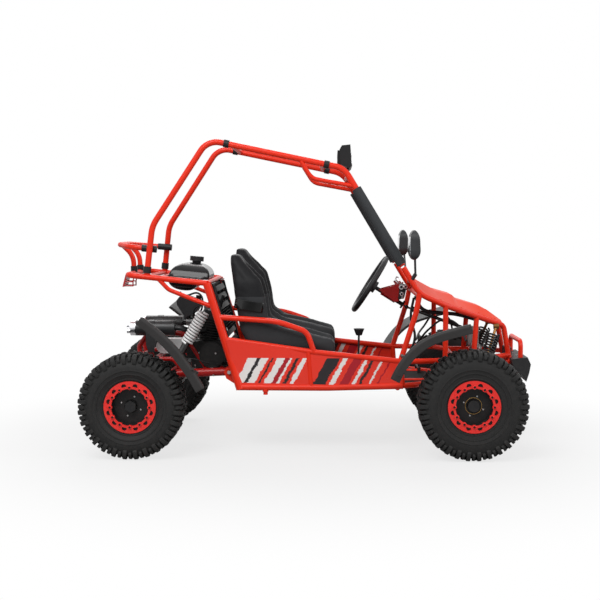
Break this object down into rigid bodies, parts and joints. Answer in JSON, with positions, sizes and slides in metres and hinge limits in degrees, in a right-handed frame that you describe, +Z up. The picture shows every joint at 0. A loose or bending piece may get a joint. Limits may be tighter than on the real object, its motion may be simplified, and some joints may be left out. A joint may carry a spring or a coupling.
{
  "type": "dune buggy",
  "caption": "Off-road dune buggy for young drivers: tubular frame with roll cage, side-by-side seats, rear luggage rack, chain-driven live rear axle and rack steering.",
  "frame": {"origin": "centre of the bounding box in plan, on the ground", "axes": "+X forward, +Y to the vehicle's left, +Z up"},
  "size_m": [2.041, 1.18, 1.4193],
  "materials": {
    "frame_red": "glossy bright red-orange powder coat",
    "cradle_red": "glossy red powder coat",
    "bonnet_red": "glossy moulded plastic, red-orange",
    "panel_red": "glossy sheet, red-orange with a printed pattern",
    "pad_foam": "closed-cell foam sleeve",
    "black_paint": "satin black paint",
    "black_gloss": "gloss black paint",
    "black_plastic": "moulded black plastic",
    "seat_grey": "matte grey moulding",
    "seat_vinyl": "black upholstery vinyl",
    "tyre": "black rubber",
    "rim_black": "satin black",
    "ring_red": "gloss red",
    "alloy": "as cast",
    "steel": "zinc plated",
    "chrome": "polished",
    "webbing": "black webbing",
    "lamp_red": "red lens"
  },
  "bodies": {
    "chassis": {"side_frames": "frame_red", "front_frame": "frame_red", "floor_frame": "frame_red", "floor_pan": "black_paint", "door_panels": "panel_red", "rack_frame": "frame_red", "rack_hoop": "frame_red", "cage_uprights": "frame_red", "roof_frame": "frame_red", "windscreen_frame": "frame_red", "pillar_pads": "pad_foam", "couplings": "black_paint", "light_bar": "black_paint", "bonnet": "bonnet_red", "front_bumper": "black_plastic", "guard_hoop": "frame_red", "rear_cradle": "cradle_red", "engine_case": "alloy", "engine_cylinder": "alloy", "carburettor": "alloy", "air_filter": "black_plastic", "exhaust": "black_paint", "fuel_tank": "black_gloss", "fuel_cap": "black_plastic", "firewall": "frame_red", "seat_shells": "seat_grey", "seat_pads": "seat_vinyl", "front_arms": "cradle_red", "dampers": "steel", "rear_springs": "chrome", "front_springs": "black_gloss", "rack_housing": "alloy", "front_mudguards": "black_plastic", "rear_mudguards": "black_plastic", "mirrors": "black_plastic", "tail_lamp": "lamp_red", "chain": "steel", "brake_caliper": "black_paint", "belts": "webbing", "dash": "cradle_red", "pedals": "black_paint", "shifter": "black_plastic"},
    "steering_wheel_body": {"steering_wheel": "black_plastic"},
    "steering_shaft_body": {"steering_shaft": "steel"},
    "rack_body": {"rack_bar": "steel"},
    "left_tie_rod_body": {"left_tie_rod": "steel"},
    "right_tie_rod_body": {"right_tie_rod": "steel"},
    "left_knuckle_body": {"left_knuckle": "black_paint"},
    "right_knuckle_body": {"right_knuckle": "black_paint"},
    "left_front_wheel_body": {"left_front_wheel": "rim_black", "left_front_ring": "ring_red", "left_front_tyre": "tyre"},
    "right_front_wheel_body": {"right_front_wheel": "rim_black", "right_front_ring": "ring_red", "right_front_tyre": "tyre"},
    "rear_axle_body": {"rear_axle": "steel", "rear_wheels": "rim_black", "rear_rings": "ring_red", "rear_tyres": "tyre"}
  },
  "joints": [
    {"name": "steering_wheel_turn", "type": "hinge", "parent": "chassis", "child": "steering_wheel_body", "pos_m": [0.2825, 0.165, 0.737], "axis": [-0.848, 0, 0.5299], "range_deg": [-110, 110]},
    {"name": "steering_shaft_turn", "type": "hinge", "parent": "chassis", "child": "steering_shaft_body", "pos_m": [0.7625, 0.04, 0.52], "axis": [-0.8785, 0.3679, 0.3049], "range_deg": [-112, 112]},
    {"name": "rack_slide", "type": "slide", "parent": "chassis", "child": "rack_body", "axis": [0, 1, 0], "range_m": [-0.02835, 0.02835]},
    {"name": "left_kingpin", "type": "hinge", "parent": "chassis", "child": "left_knuckle_body", "pos_m": [0.7105, 0.378, 0.241], "axis": [0, 0, 1], "range_deg": [-24, 24]},
    {"name": "left_front_wheel_spin", "type": "hinge", "parent": "left_knuckle_body", "child": "left_front_wheel_body", "pos_m": [0.7105, 0.501, 0.241], "axis": [0, 1, 0], "continuous": true},
    {"name": "left_tie_rod_turn", "type": "hinge", "parent": "rack_body", "child": "left_tie_rod_body", "pos_m": [0.7805, 0.1788, 0.452], "axis": [0, 0, 1], "range_deg": [-4, 4]},
    {"name": "right_kingpin", "type": "hinge", "parent": "chassis", "child": "right_knuckle_body", "pos_m": [0.7105, -0.378, 0.241], "axis": [0, 0, 1], "range_deg": [-24, 24]},
    {"name": "right_front_wheel_spin", "type": "hinge", "parent": "right_knuckle_body", "child": "right_front_wheel_body", "pos_m": [0.7105, -0.501, 0.241], "axis": [0, 1, 0], "continuous": true},
    {"name": "right_tie_rod_turn", "type": "hinge", "parent": "rack_body", "child": "right_tie_rod_body", "pos_m": [0.7805, -0.1788, 0.452], "axis": [0, 0, 1], "range_deg": [-4, 4]},
    {"name": "rear_axle_spin", "type": "hinge", "parent": "chassis", "child": "rear_axle_body", "pos_m": [-0.7875, 0, 0.233], "axis": [0, 1, 0], "continuous": true}
  ],
  "couplings": [
    {"joint": "steering_shaft_turn", "follows": "steering_wheel_turn", "ratio": 1},
    {"joint": "rack_slide", "follows": "steering_wheel_turn", "m_per_rad": 0.014246},
    {"joint": "left_kingpin", "follows": "steering_wheel_turn", "ratio": 0.20909},
    {"joint": "left_tie_rod_turn", "follows": "steering_wheel_turn", "ratio": -0.0133},
    {"joint": "right_kingpin", "follows": "steering_wheel_turn", "ratio": 0.20909},
    {"joint": "right_tie_rod_turn", "follows": "steering_wheel_turn", "ratio": -0.0133}
  ]
}
